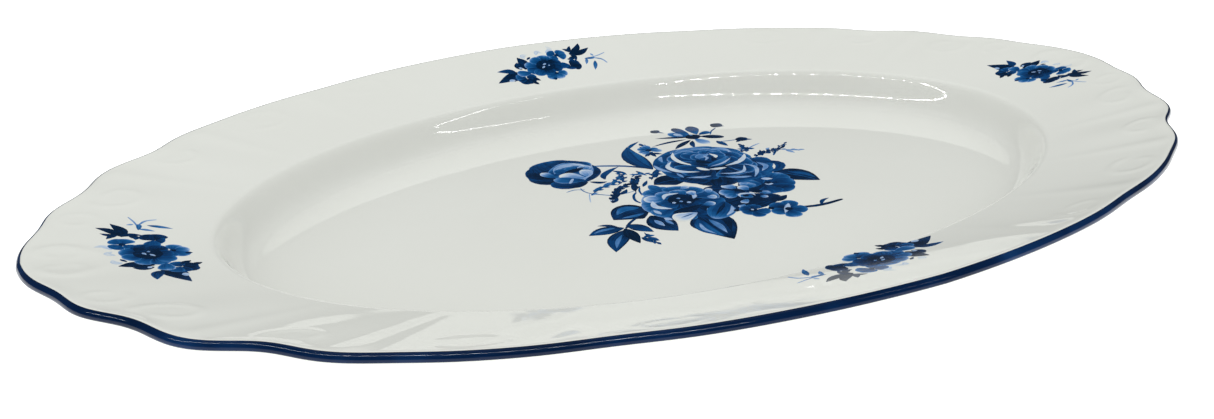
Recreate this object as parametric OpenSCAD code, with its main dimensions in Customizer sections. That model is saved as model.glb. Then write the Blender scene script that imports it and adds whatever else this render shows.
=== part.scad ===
// Oval serving platter in glazed china, with a scalloped fluted rim,
// a painted edge line, a bouquet print in the well and four small prints on the rim.
// The platter stands on the XY plane, long axis along X.

/* [Overall] */
// Length over the rim
platter_l = 360; // [300:5:420]
// Width over the rim
platter_w = 240; // [210:5:280]
// Height of the foot ring under the well floor
foot_h = 3; // [2:0.25:4]

/* [Well] */
// Length of the well where it meets the rim
well_l = 268; // [240:2:290]
// Width of the well where it meets the rim
well_w = 172; // [150:2:190]
// Plan width of the sloping wall between the floor and the rim
wall_run = 12; // [9:0.5:16]
// Depth of the well floor below the top of the rim
well_depth = 20; // [16:0.5:22]
// Drop of the rim from its edge down to the well
rim_drop = 8.5; // [5:0.5:10]

/* [China body] */
// Thickness of the well floor
floor_t = 4; // [3.5:0.25:5]
// Thickness of the rim and of the rounded lip
lip_t = 3.2; // [2.8:0.1:4]
// Depth of the small notches between the lobes of the rim
notch_depth = 3.9; // [0:0.1:4.5]
// Height of the fluted ribs that run in from the notches
rib_h = 0.5; // [0:0.1:1]

/* [Foot ring] */
// Distance from the edge of the well floor in to the outside of the foot ring
foot_inset = 6; // [4:1:12]
// Width of the foot ring where it meets the underside
foot_w = 4.6; // [3:0.2:6]

/* [Decoration] */
// Thickness of the fired prints
print_t = 0.12; // [0.1:0.02:0.3]
// Thickness of the painted edge line
line_t = 0.1; // [0.06:0.02:0.2]
// Length of each rim print, measured along the rim
spray_l = 42; // [30:1:50]
// Width of each rim print, measured across the rim
spray_w = 20; // [12:1:24]

/* [Hidden] */

china_white = [0.90, 0.92, 0.90];
biscuit_white = [0.86, 0.84, 0.79];
cobalt_blue = [0.04, 0.14, 0.42];

turns = 180;                       // points round each ring of the body
floor_z = foot_h + floor_t;        // top of the well floor
platter_h = floor_z + well_depth;  // top of the rim
crease_z = platter_h - rim_drop;   // top of the rim where it meets the well
lip_r = lip_t / 2;
rim_long = platter_l / 2;
rim_short = platter_w / 2;
well_long = well_l / 2;
well_short = well_w / 2;
floor_long = well_long - wall_run;
floor_short = well_short - wall_run;

// Notches of one quarter of the rim: angle from the long axis, share of the notch depth, width.
notches = [[10.8, 0.58, 4.9], [22.4, 1, 5.9], [37.2, 0.84, 4.7], [48.8, 0.09, 3.4], [64.7, 0.19, 4.4]];
// The rim is a little flatter than an ellipse between the two axes, by this many millimetres.
shoulder = 2.2;
// The lip rises a little at the ends of the short axis and dips between: two waves, in millimetres.
wave_two = -0.735;
wave_four = 0.45;

// Angle from the long axis, folded into one quarter of the oval.
function quarter(t) = abs(((t + 90) % 180 + 180) % 180 - 90);
function bump(a, at, wide) = exp(-pow((a - at) / wide, 2));
function sum(list, i = 0) = i < len(list) ? list[i] + sum(list, i + 1) : 0;
function notch(a) = sum([for (n = notches) n[1] * bump(a, n[0], n[2])]);
function inset(t) = shoulder * sin(2 * quarter(t)) + notch_depth * notch(quarter(t));
function oval(t, long, short) = [long * cos(t), short * sin(t)];
function outline(t) = oval(t, rim_long - inset(t), rim_short - inset(t));
function mix(p, q, s) = p + (q - p) * s;
function wave(t) = wave_two * cos(2 * t) + wave_four * cos(4 * t);

// Height of the wall between the floor, s = 0, and the rim, s = 1, as a share of its rise.
// It leaves the floor in a long soft curve and turns into the rim in a short one.
wall_end_slope = 0.085;
function wall_rise(s) = let (v = s * s) v * v * (3 - 2 * v) + wall_end_slope * v * v * (v - 1);
// Height of the rim between the well, s = 0, and the lip, s = 1, as a share of its rise.
function rim_rise(s) = 0.85 * s + 0.15 * s * s;
// Ribs stand highest near the lip and fade out towards the well.
function rib(t, s) = rib_h * notch(quarter(t)) * pow(s, 1.5) * (1 - pow(s, 6));

// A point on the top of the rim, s from 0 at the well to 1 at the lip's crest.
function rim_point(t, s, up = 0) =
    let (p = mix(oval(t, well_long, well_short), outline(t) * (1 - lip_r / norm(outline(t))), s))
    [p[0], p[1], crease_z + rim_drop * rim_rise(s) + wave(t) * s * s + rib(t, s) + up];

function wall_point(t, s) =
    let (p = mix(oval(t, floor_long, floor_short), oval(t, well_long, well_short), s))
    [p[0], p[1], floor_z + (crease_z - floor_z) * wall_rise(s)];

// A point on the rounded lip, at an angle up from its outermost line.
function lip_point(t, lift, skin = 0) =
    let (o = outline(t), n = o / norm(o))
    [o[0] - n[0] * lip_r + n[0] * (lip_r + skin) * cos(lift),
     o[1] - n[1] * lip_r + n[1] * (lip_r + skin) * cos(lift),
     platter_h - lip_r + wave(t) + (lip_r + skin) * sin(lift)];

// Points on the underside: the rim, the wall and the floor, each offset from the top.
under_shift = 2.6;
function under_rim(t, s) =
    let (p = mix(oval(t, well_long + under_shift, well_short + under_shift),
                 outline(t) * (1 - lip_r / norm(outline(t))), s))
    [p[0], p[1], crease_z - lip_t + rim_drop * rim_rise(s) + wave(t) * s * s];
function under_wall(t, s) =
    let (p = mix(oval(t, floor_long + under_shift, floor_short + under_shift),
                 oval(t, well_long + under_shift, well_short + under_shift), s))
    [p[0], p[1], foot_h + (crease_z - lip_t - foot_h) * wall_rise(s)];

function ring(f, steps = turns) = [for (i = [0 : steps - 1]) f(360 * i / steps)];

// Joins a list of rings, from the top centre round to the bottom centre, into one closed solid.
module lofted_dish(rings, top, bottom) {
    n = len(rings[0]);
    last = len(rings) - 1;
    points = concat([top], [for (r = rings) each r], [bottom]);
    end = len(points) - 1;
    top_fan = [for (i = [0 : n - 1]) [0, 1 + (i + 1) % n, 1 + i]];
    bottom_fan = [for (i = [0 : n - 1]) [end, 1 + last * n + i, 1 + last * n + (i + 1) % n]];
    sides = [for (r = [0 : last - 1], i = [0 : n - 1])
        let (a = 1 + r * n + i, b = 1 + r * n + (i + 1) % n)
        each [[a, b, b + n], [a, b + n, a + n]]];
    polyhedron(points, concat(top_fan, sides, bottom_fan), convexity = 6);
}

module platter_body() {
    half_floor = ring(function (t) wall_point(t, 0) * 0.5);
    rings = concat(
        [[for (p = half_floor) [p[0], p[1], floor_z]]],
        [for (s = [0, 0.25, 0.42, 0.56, 0.7, 0.82, 0.9, 0.96]) ring(function (t) wall_point(t, s))],
        [for (s = [0, 0.2, 0.45, 0.7, 0.88, 1]) ring(function (t) rim_point(t, s))],
        [for (a = [60, 30, 0, -30, -60]) ring(function (t) lip_point(t, a))],
        [for (s = [1, 0.7, 0.35, 0]) ring(function (t) under_rim(t, s))],
        [for (s = [0.85, 0.7, 0.5, 0.3, 0]) ring(function (t) under_wall(t, s))]);
    color(china_white)
        lofted_dish(rings, [0, 0, floor_z], [0, 0, foot_h]);
}

// A flat oval band whose inside and outside are parallel ovals.
module oval_band(long, short, wide) {
    side = [for (i = [0 : 95]) 360 * i / 96];
    difference() {
        polygon([for (t = side) oval(t, long, short)]);
        polygon([for (t = side) oval(t, long - wide, short - wide)]);
    }
}

// The foot narrows in three steps towards the bare edge that stands on the table.
module foot_ring() {
    long = floor_long - foot_inset;
    short = floor_short - foot_inset;
    color(biscuit_white)
        for (step = [[0, 0.9], [1, 0.45], [2, 0]])
            translate([0, 0, foot_h * step[0] / 3])
                linear_extrude(foot_h / 3)
                    oval_band(long - step[1], short - step[1], foot_w - 2 * step[1]);
}

// A closed skin round the outer half of the lip, from just inside its crest to its outermost line.
module edge_line() {
    lifts = [75, 56, 38, 19, 0];
    outside = [for (a = lifts) ring(function (t) lip_point(t, a, line_t))];
    inside = [for (k = [len(lifts) - 1 : -1 : 0]) ring(function (t) lip_point(t, lifts[k], 0))];
    loops = concat(outside, inside);
    n = turns;
    m = len(loops);
    faces = [for (r = [0 : m - 1], i = [0 : n - 1])
        let (a = r * n + i, b = r * n + (i + 1) % n,
             c = ((r + 1) % m) * n + i, d = ((r + 1) % m) * n + (i + 1) % n)
        each [[a, b, d], [a, d, c]]];
    color(cobalt_blue)
        polyhedron([for (l = loops) each l], faces, convexity = 8);
}

// Flat outlines for the bouquet: a many-petalled flower, a pointed leaf and a thin stem.
module blossom(r, petals) {
    polygon([for (i = [0 : 59]) let (t = 6 * i) r * (1 - 0.1 * pow(sin(petals * t / 2), 6)) * [cos(t), sin(t)]]);
}

module leaf(long, wide) {
    bends = [for (i = [0 : 8]) i / 8];
    polygon(concat([for (s = bends) [long * s, wide / 2 * sin(180 * pow(s, 0.8))]],
                   [for (k = [7 : -1 : 1]) [long * bends[k], -wide / 2 * sin(180 * pow(bends[k], 0.8))]]));
}

module stem(long, wide) {
    translate([0, -wide / 2])
        square([long, wide]);
}

// The bouquet lies flat on the well floor: place, turn and size of each flower, leaf and stem.
module bouquet_print() {
    flowers = [[27, 15, 17], [1, -7, 12.5], [-18, 34, 11], [31, -9, 9], [17, -11, 9], [10, -17, 7],
               [-4, -16.5, 6], [16.5, -25.5, 5.8], [25.5, -29, 5.8], [37.5, 43, 7], [17, 38.5, 5],
               [28.5, 54, 1.7], [51.5, 49, 2.2], [50.5, 31.5, 2.4], [46, 22.5, 3]];
    leaves = [[0, -19, 267, 19, 12], [-12, -12, 273, 13.5, 8], [-10, -7, 188, 12.5, 12],
              [-20, -15.8, 180, 14.8, 5.3], [-21, -15, 228, 18.5, 6], [-22, -15, 256, 12, 4.5],
              [-19, -14, 287, 9, 4.5], [40, -1, -57, 15.5, 9], [8.5, 22, 81, 23, 6],
              [14, 9, 178, 12, 8], [42, 34, 95, 9, 3], [36, 43, 155, 12, 2.4], [35, 41, 185, 14, 2],
              [34, 40, 215, 11, 2.6], [41, 42, -40, 8, 3], [39, 39, -105, 7, 4], [37, 46, 92, 8.5, 3.6],
              [41, 46, 85, 7, 3.6], [-9, 21, 42, 12, 2.4], [5, 14, 60, 8, 2.4], [43, 8, -75, 9, 6]];
    stems = [[-7, 34.5, -38, 18, 1.3], [30, -29.5, -9, 14.2, 1.6], [50, 12, 45, 10, 0.8],
             [-20, 19, -84, 8, 0.8], [-19.2, 12.2, -42, 7, 0.8], [-14.5, 8, -3, 9, 0.8],
             [-16.5, 4, 55, 11, 2], [-6, 8.5, 62, 9, 2], [-19, 12.5, 31, 14, 1.8],
             [44, 41.5, 44, 8, 0.8], [-12, -10, 210, 14, 1.2], [46, 21, 30, 8, 0.8]];
    color(cobalt_blue)
        translate([0, 0, floor_z])
            linear_extrude(print_t)
                union() {
                    for (f = flowers)
                        translate([f[0], f[1]])
                            blossom(f[2], 7);
                    for (l = leaves)
                        translate([l[0], l[1]])
                            rotate(l[2])
                                leaf(l[3], l[4]);
                    for (s = stems)
                        translate([s[0], s[1]])
                            rotate(s[2])
                                stem(s[3], s[4]);
                }
}

// One rim print: a lobed patch that follows the slope of the rim round the angle `at`.
// Its middle lies at `across`, a share of the way from the well to the lip.
module spray_print(at, across) {
    rounds = 3;
    spokes = 42;
    rim_mid = rim_point(at, across);
    // Degrees of turn and share of the rim's breadth that one millimetre spans here.
    turn_per_mm = 1 / norm(rim_point(at + 1, across) - rim_mid);
    share_per_mm = 1 / norm(rim_point(at, 1) - rim_point(at, 0));
    function edge(phi) = 0.5 * (1 - 0.16 * pow(sin(3.5 * phi), 2) - 0.1 * pow(sin(5.5 * phi + 20), 2));
    function patch(phi, k, up) = rim_point(
        at + spray_l * edge(phi) * k * cos(phi) * turn_per_mm,
        across + spray_w * edge(phi) * k * sin(phi) * share_per_mm, up);
    function layer(k, up) = [for (i = [0 : spokes - 1]) patch(360 * i / spokes, k, up)];
    rings = concat([for (k = [1 : rounds]) layer(k / rounds, print_t)],
                   [for (k = [rounds : -1 : 1]) layer(k / rounds, 0)]);
    color(cobalt_blue)
        lofted_dish(rings, rim_point(at, across, print_t), rim_point(at, across, 0));
}

module spray_print_right() { spray_print(-1, 0.52); }
module spray_print_back() { spray_print(86, 0.52); }
module spray_print_left() { spray_print(178, 0.42); }
module spray_print_front() { spray_print(271.5, 0.33); }

platter_body();
foot_ring();
edge_line();
bouquet_print();
spray_print_right();
spray_print_back();
spray_print_left();
spray_print_front();
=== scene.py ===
# %% [markdown]
# An oval china serving platter: a white glazed body with a scalloped, moulded rim, a cobalt line
# painted round its edge, a bouquet print in the well and four small flower prints on the rim.
# The CAD frame comes in first. It is never moved: every visible piece is built on its numbers.

import math

import bmesh
import bpy
import numpy as np
from mathutils import Matrix, Vector


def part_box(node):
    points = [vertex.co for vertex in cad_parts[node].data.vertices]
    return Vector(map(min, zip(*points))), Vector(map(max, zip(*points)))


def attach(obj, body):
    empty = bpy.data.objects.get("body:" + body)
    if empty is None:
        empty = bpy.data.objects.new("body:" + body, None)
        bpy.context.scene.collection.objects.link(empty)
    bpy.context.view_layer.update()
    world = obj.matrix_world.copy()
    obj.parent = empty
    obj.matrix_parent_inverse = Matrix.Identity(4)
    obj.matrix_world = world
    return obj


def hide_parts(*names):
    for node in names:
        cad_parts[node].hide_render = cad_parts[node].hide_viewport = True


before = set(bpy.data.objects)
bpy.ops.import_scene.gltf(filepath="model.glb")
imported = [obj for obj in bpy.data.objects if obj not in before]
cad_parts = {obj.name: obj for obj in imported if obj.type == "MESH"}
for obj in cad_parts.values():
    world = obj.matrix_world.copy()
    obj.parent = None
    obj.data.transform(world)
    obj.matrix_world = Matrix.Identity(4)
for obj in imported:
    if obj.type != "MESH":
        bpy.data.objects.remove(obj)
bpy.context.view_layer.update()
MM = 0.001
body_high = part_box("platter_body")[1]
ring_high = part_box("foot_ring")[1]
well_print_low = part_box("bouquet_print")[0]
print("CAD nodes:", sorted(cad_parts))

# %% [markdown]
# The platter is measured in millimetres here, as a potter would, and turned into metres when the
# mesh is made. The outside size comes from the CAD boxes. The oval of the well, its wall and the
# lip repeat the proportions of the CAD model, so both shapes share one set of curves.

# %% Main sizes of the china
rim_long = body_high.x / MM
rim_short = body_high.y / MM
# The lip is highest at the ends of the short axis, this far above the plain rim.
wave_two = -0.735
wave_four = 0.45
platter_h = body_high.z / MM - (wave_four - wave_two)
foot_h = ring_high.z / MM
floor_z = well_print_low.z / MM
lip_r = 1.6
well_long = 134.0
well_short = 86.0
wall_run = 12.0
floor_long = well_long - wall_run
floor_short = well_short - wall_run
crease_z = platter_h - 8.5
under_shift = 2.6
print("rim %.1f by %.1f mm, height %.1f mm" % (2 * rim_long, 2 * rim_short, platter_h))

# %% [markdown]
# The edge of the rim is a soft bracket shape: lobes between small notches, repeated in each quarter
# of the oval. Each notch is a little dip in the outline, so one list of angles, depths and widths
# describes the whole edge. Angles run from the long axis, folded into one quarter.

# %% Outline of the rim
notches = [(10.8, 0.58, 4.9), (22.4, 1.0, 5.9), (37.2, 0.84, 4.7), (48.8, 0.09, 3.4),
           (64.7, 0.19, 4.4)]
notch_depth = 3.9
shoulder = 2.2


def quarter(angle):
    """Angle from the long axis, folded into one quarter, in degrees."""
    return np.abs((np.degrees(angle) + 90) % 180 - 90)


def hump(a, at, wide):
    return np.exp(-(((a - at) / wide) ** 2))


def edge_inset(angle):
    a = quarter(angle)
    dips = sum(depth * hump(a, at, wide) for at, depth, wide in notches)
    return shoulder * np.sin(np.radians(2 * a)) + notch_depth * dips


def wave(angle):
    """The lip isn't quite level: it rises and dips a little round the oval, in millimetres."""
    return wave_two * np.cos(2 * angle) + wave_four * np.cos(4 * angle)


def outline(angle, inside=0.0):
    """The rim's outline, or a line parallel to it, this many millimetres inside."""
    cut = edge_inset(angle)
    x = (rim_long - cut) * np.cos(angle)
    y = (rim_short - cut) * np.sin(angle)
    shrink = 1 - inside / np.hypot(x, y)
    return x * shrink, y * shrink


# %% [markdown]
# The rim isn't plain. Low ribs run in from the points between the lobes, small scrolls stand in the
# panels between the ribs, and each end of the long axis carries a moulded shell. On real china this
# relief is cut into the plaster mould. It is under half a millimetre high, so it is worked out
# here as a height that is added to the surface of the rim.

# %% Relief on the rim
ribs = [(29.5, 1.3, 0.26), (45.0, 1.3, 0.28), (61.5, 1.4, 0.22), (75.0, 1.6, 0.15)]
# Scrolls: angle, share of the way out, radius in degrees, height of the raised line, start of the gap.
scrolls = [(37.5, 0.80, 3.4, 0.30, 40), (53.0, 0.80, 3.6, 0.28, 200), (22.0, 0.76, 3.6, 0.26, 120),
           (68.5, 0.82, 3.0, 0.18, 300), (13.5, 0.84, 2.6, 0.24, 250)]


def ridge(distance, wide):
    return np.exp(-((distance / wide) ** 2))


def scroll(a, s, at, out, radius, gap_at):
    """A curled line: an open circle whose radius shrinks as it winds in."""
    across = (a - at) / radius
    along = (s - out) / (radius * 0.052)
    turn = np.degrees(np.arctan2(along, across))
    winding = ((turn - gap_at) % 360) / 360
    rings = np.hypot(across, along)
    curl = ridge(rings - (1.0 - 0.45 * winding), 0.16)
    return curl * np.clip(winding * 12, 0, 1) * np.clip((1 - winding) * 8, 0, 1)


def relief(angle, s):
    """Height of the moulding above the plain rim. s runs from 0 at the well to 1 at the lip."""
    a = quarter(angle)
    near_lip = 1 - np.clip((s - 0.90) / 0.10, 0, 1) ** 2
    fade = np.clip(s / 0.85, 0, 1) ** 1.2 * near_lip
    height = sum(high * ridge(a - at, wide * (0.75 + 0.5 * s)) for at, wide, high in ribs) * fade
    dips = sum(depth * hump(a, at, wide * 0.8) for at, depth, wide in notches)
    height = height - 0.35 * dips * np.clip((s - 0.45) / 0.45, 0, 1) ** 2 * near_lip
    for at, out, radius, high, gap_at in scrolls:
        height = height + 0.55 * high * scroll(a, s, at, out, radius, gap_at) * near_lip
    shell = scroll(a, s, 0.0, 0.84, 6.5, 90) * 0.16 + scroll(a, s, 3.0, 0.84, 2.6, 200) * 0.12
    return height + shell * near_lip


# %% [markdown]
# One cross-section of the platter, from the middle of the well round the lip to the middle of the
# underside, is written as a list of stations. Spinning it makes the round blank that a potter would
# throw. Pressing the blank over the oval mould is done by moving each point to its place on the
# oval. The station and the angle of each point say where it goes.

# %% Surfaces of the body
lip_start = math.radians(102)
lip_end = math.radians(-78)


def between(p, q, s):
    return p + (q - p) * s


def wall_rise(s):
    """The wall leaves the floor in a long soft curve and turns into the rim in a short one."""
    v = s**2.0
    return v * v * (3 - 2 * v) + 0.085 * v * v * (v - 1)


def rim_rise(s):
    return 0.85 * s + 0.15 * s * s


def floor_place(angle, s):
    return floor_long * s * np.cos(angle), floor_short * s * np.sin(angle), floor_z + 0 * angle


def wall_place(angle, s):
    x = between(floor_long, well_long, s) * np.cos(angle)
    y = between(floor_short, well_short, s) * np.sin(angle)
    return x, y, floor_z + (crease_z - floor_z) * wall_rise(s) + 0 * angle


def rim_place(angle, s):
    edge_x, edge_y = outline(angle, lip_r - lip_r * math.cos(lip_start))
    x = between(well_long * np.cos(angle), edge_x, s)
    y = between(well_short * np.sin(angle), edge_y, s)
    top = platter_h - lip_r + lip_r * math.sin(lip_start)
    return x, y, crease_z + (top - crease_z) * rim_rise(s) + wave(angle) * s * s + relief(angle, s)


def lip_place(angle, s, proud=0.0):
    lift = lip_start + (lip_end - lip_start) * s
    x, y = outline(angle, lip_r - (lip_r + proud) * np.cos(lift))
    return x, y, platter_h - lip_r + (lip_r + proud) * np.sin(lift) + wave(angle)


def under_rim_place(angle, s):
    edge_x, edge_y = outline(angle, lip_r - lip_r * math.cos(lip_end))
    x = between(edge_x, (well_long + under_shift) * np.cos(angle), s)
    y = between(edge_y, (well_short + under_shift) * np.sin(angle), s)
    edge_z = platter_h - lip_r + lip_r * math.sin(lip_end)
    return x, y, edge_z - (edge_z - crease_z + 3.2) * rim_rise(s) + wave(angle) * (1 - s) ** 2


def under_wall_place(angle, s):
    x = between(well_long, floor_long, s) + under_shift
    y = between(well_short, floor_short, s) + under_shift
    drop = crease_z - 3.2 - foot_h
    return x * np.cos(angle), y * np.sin(angle), foot_h + drop * wall_rise(1 - s) + 0 * angle


def under_floor_place(angle, s):
    x = (floor_long + under_shift) * (1 - s)
    y = (floor_short + under_shift) * (1 - s)
    return x * np.cos(angle), y * np.sin(angle), foot_h + 0 * angle


# %% Blank, spun from the section
SPIN_STEPS = 720
zones = [(floor_place, 9), (wall_place, 16), (rim_place, 40), (lip_place, 12),
         (under_rim_place, 10), (under_wall_place, 9), (under_floor_place, 6)]
stations = [(zone, k / count) for zone, count in zones for k in range(count)]
stations.append((under_floor_place, 1.0))


def new_piece(name, bm, smooth=True):
    """Turns a bmesh in millimetres into an object in metres, shaded smooth."""
    bmesh.ops.scale(bm, vec=(MM, MM, MM), verts=bm.verts)
    mesh = bpy.data.meshes.new(name)
    bm.to_mesh(mesh)
    bm.free()
    for face in mesh.polygons:
        face.use_smooth = smooth
    piece = bpy.data.objects.new(name, mesh)
    bpy.context.scene.collection.objects.link(piece)
    return piece


def spun_blank(count, steps, closed=False):
    """A round blank with one ring of points for each station. Each point keeps its station number."""
    bm = bmesh.new()
    mark = bm.verts.layers.float.new("station")
    line = []
    for k in range(count):
        on_axis = not closed and k in (0, count - 1)
        vert = bm.verts.new((0 if on_axis else 10 + k, 0, -k))
        vert[mark] = k
        line.append(vert)
    edges = [bm.edges.new(pair) for pair in zip(line, line[1:])]
    if closed:
        edges.append(bm.edges.new((line[-1], line[0])))
    bmesh.ops.spin(bm, geom=line + edges, cent=(0, 0, 0), axis=(0, 0, 1), angle=2 * math.pi,
                   steps=steps, use_merge=True, use_duplicate=False)
    bmesh.ops.remove_doubles(bm, verts=bm.verts, dist=1e-4)
    bm.verts.ensure_lookup_table()
    return bm, mark


def press_blank(bm, mark, stations):
    """Moves each point of a spun blank to its station's place on the oval."""
    points = np.array([v.co for v in bm.verts])
    angle = np.arctan2(points[:, 1], points[:, 0])
    number = np.array([round(v[mark]) for v in bm.verts])
    place = np.zeros((len(points), 3))
    for k, (zone, s) in enumerate(stations):
        chosen = number == k
        place[chosen] = np.stack(zone(angle[chosen], s), -1)
    for vert, spot in zip(bm.verts, place):
        vert.co = spot
    bmesh.ops.recalc_face_normals(bm, faces=bm.faces)


bm, mark = spun_blank(len(stations), SPIN_STEPS)
press_blank(bm, mark, stations)
platter = new_piece("china_platter", bm)
print("platter:", len(platter.data.polygons), "faces")

# %% [markdown]
# The foot ring is the part of the underside that touches the table. On real china it is left free
# of glaze, so that the platter doesn't stick in the kiln. It is an oval band with rounded shoulders,
# spun from a small section and pressed to the oval in the same way.

# %% Foot ring
foot_long = ring_high.x / MM
foot_short = ring_high.y / MM
foot_w = 4.6
foot_section = [(0.0, foot_h + 0.3), (0.0, 1.9), (0.35, 0.9), (0.9, 0.25), (1.5, 0.0), (3.1, 0.0),
                (3.7, 0.25), (4.25, 0.9), (foot_w, 1.9), (foot_w, foot_h + 0.3)]
foot_stations = [(lambda angle, s: ((foot_long - s[0]) * np.cos(angle),
                                    (foot_short - s[0]) * np.sin(angle), s[1] + 0 * angle), spot)
                 for spot in foot_section]
bm, mark = spun_blank(len(foot_section), 360, closed=True)
press_blank(bm, mark, foot_stations)
foot = new_piece("bare_foot_ring", bm)
print("foot ring:", len(foot.data.polygons), "faces")

# %% [markdown]
# The edge line is cobalt colour brushed onto the lip and fired under the glaze. It covers the outer
# shoulder of the lip, from just short of the crest to a little below the outermost point. It is a
# thin closed skin that wraps the lip, with its two sides on the same curve as the body.

# %% Painted edge line
line_proud = 0.07
line_turn = math.degrees(lip_start - lip_end)
line_top = (102 - 77) / line_turn
line_low = (102 + 9) / line_turn
line_rows = 12
over = [(lip_place, line_top + (line_low - line_top) * k / line_rows) for k in range(line_rows + 1)]
line_stations = [(lambda angle, s: lip_place(angle, s, line_proud), s) for zone, s in over]
line_stations += [(lambda angle, s: lip_place(angle, s, -0.05), s) for zone, s in reversed(over)]
bm, mark = spun_blank(len(line_stations), SPIN_STEPS, closed=True)
press_blank(bm, mark, line_stations)
edge_line = new_piece("cobalt_edge_line", bm)
print("edge line:", len(edge_line.data.polygons), "faces")

# %% [markdown]
# The prints are transfers of cobalt ink, laid on in many brush-shaped marks. Each mark is a very thin
# closed skin: a grid is drawn out along a smooth line, given the outline of a petal, a leaf or a
# stroke, thickened, and laid on the glaze. Later marks lie a few thousandths of a millimetre higher.
# Every point remembers how far along and across its mark it is, and how much ink the mark carries.

# %% Brush marks
MARK_LONG = 14
MARK_WIDE = 6
MARK_SHORT = 8
MARK_NARROW = 3
SHARP_EDGE = 0.6
INK_LOW = 0.015
INK_HIGH = 0.105
INK_SINK = 0.03
# Where each kind of mark is widest (a power of the way along it), and how pointed its ends are.
PETAL, FAN, LEAF = (1.45, 0.55), (2.3, 0.42), (0.85, 0.95)
DOT, LINE, CREST = (1.0, 0.5), (1.0, 0.2), (1.0, 0.8)


def smooth_line(points, u):
    """Places on a smooth line through the points, and the line's direction there."""
    p = np.array(points, float)
    p = np.vstack([2 * p[0] - p[1], p, 2 * p[-1] - p[-2]])
    spans = len(points) - 1
    k = np.clip(np.floor(u * spans).astype(int), 0, spans - 1)
    w = (u * spans - k)[:, None]
    a, b, c, d = p[k], p[k + 1], p[k + 2], p[k + 3]
    place = b + 0.5 * ((c - a) * w + (2 * a - 5 * b + 4 * c - d) * w**2 + (3 * b - a - 3 * c + d) * w**3)
    slope = 0.5 * (c - a) + (2 * a - 5 * b + 4 * c - d) * w + 1.5 * (3 * b - a - 3 * c + d) * w**2
    return place, slope / np.linalg.norm(slope, axis=1)[:, None]


def mark_outline(kind, wide, points, seed, p, q):
    """Turns grid places (p along, q across, each from -1 to 1) into millimetres on the print."""
    u = 0.5 + 0.5 * np.sin(p * math.pi / 2)
    power, blunt = kind
    place, along = smooth_line(points, u)
    half = np.maximum(np.sin(math.pi * np.clip(u, 0, 1) ** power), 0) ** blunt * wide / 2
    ruffle = 1 + 0.07 * np.sin(7 * u + 2.3 * seed) * (kind in (PETAL, FAN, DOT))
    off = np.maximum(half * ruffle, 0.02) * q
    side = np.stack([-along[:, 1], along[:, 0]], -1)
    return place + side * off[:, None], u


def sprig(count, long, wide, base, tip, *points, lean=40):
    """Marks of a fine stem with small leaves that stand off it to the left and the right in turn."""
    places, ways = smooth_line(np.reshape(points, (-1, 2)), np.linspace(0.15, 1, count))
    rows = [(LINE, 0.45, base, tip, 0, *points)]
    for k, (place, way) in enumerate(zip(places, ways)):
        turn = math.radians(lean) * (-1) ** k * (k < count - 1)
        reach = long * np.array([way[0] * math.cos(turn) - way[1] * math.sin(turn),
                                 way[0] * math.sin(turn) + way[1] * math.cos(turn)])
        rows.append((LEAF, wide, base, tip, 0, *(place - 0.15 * reach), *(place + 0.85 * reach)))
    return rows


def lay_print(name, marks, surface, spot=(0, 0), turn=0.0, stretch=1.0):
    """One print. surface gives the height of the glaze at points x, y."""
    bm = bmesh.new()
    way = bm.verts.layers.float_vector.new("way")
    ink = bm.verts.layers.float_color.new("ink")
    level = bm.verts.layers.float.new("level")
    boxes = []
    cos, sin = math.cos(math.radians(turn)), math.sin(math.radians(turn))
    for seed, (kind, wide, base, tip, rim, *points) in enumerate(marks):
        points = np.reshape(points, (-1, 2))
        long = MARK_LONG if wide > 1.2 or len(points) > 2 else MARK_SHORT
        grid = bmesh.ops.create_grid(bm, x_segments=long,
                                     y_segments=MARK_WIDE if wide > 2 else MARK_NARROW, size=1)
        verts = grid["verts"]
        p, q = np.array([v.co.xy for v in verts]).T
        flat, u = mark_outline(kind, wide, points, seed, p, q)
        flat[:, 1] *= stretch
        low, high = flat.min(0), flat.max(0)
        under = [n for (a, b, n) in boxes if (a < high).all() and (b > low).all()]
        layer = max(under, default=0) + 1
        boxes.append((low, high, layer))
        for k, vert in enumerate(verts):
            x, y = flat[k]
            vert.co = (spot[0] + cos * x - sin * y, spot[1] + sin * x + cos * y, 0)
            vert[way] = (u[k], q[k], seed * 0.37)
            vert[ink] = (base / 100, tip / 100, rim / 100, 1)
            vert[level] = layer
    layers = max(n for a, b, n in boxes)
    bmesh.ops.solidify(bm, geom=bm.faces, thickness=1.0)
    spots = np.array([v.co for v in bm.verts])
    glaze = surface(spots[:, 0], spots[:, 1])
    middle = spots[:, 2].mean()
    for vert, spot_z, z in zip(bm.verts, spots[:, 2], glaze):
        lift = INK_LOW + (INK_HIGH - INK_LOW) * vert[level] / layers
        vert.co.z = z + (lift if spot_z > middle else -INK_SINK)
    bmesh.ops.recalc_face_normals(bm, faces=bm.faces)
    for edge in bm.edges:
        edge.smooth = edge.calc_face_angle(0) < SHARP_EDGE
    piece = new_piece(name, bm)
    print(name + ":", len(marks), "marks in", layers, "layers,", len(piece.data.polygons), "faces")
    return piece


# %% [markdown]
# The bouquet: a rose, a peony, a bud on a long stem, small flowers, dark leaves and fine tendrils.
# Each row is one mark: its kind, its width, the depth of the ink at its base and its tip in percent
# (0 is bare china, 100 is nearly black), how pale its rim is, and then x and y of each point of its
# line, in millimetres from the middle of the well. The lowest mark comes first, the topmost last.

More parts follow.
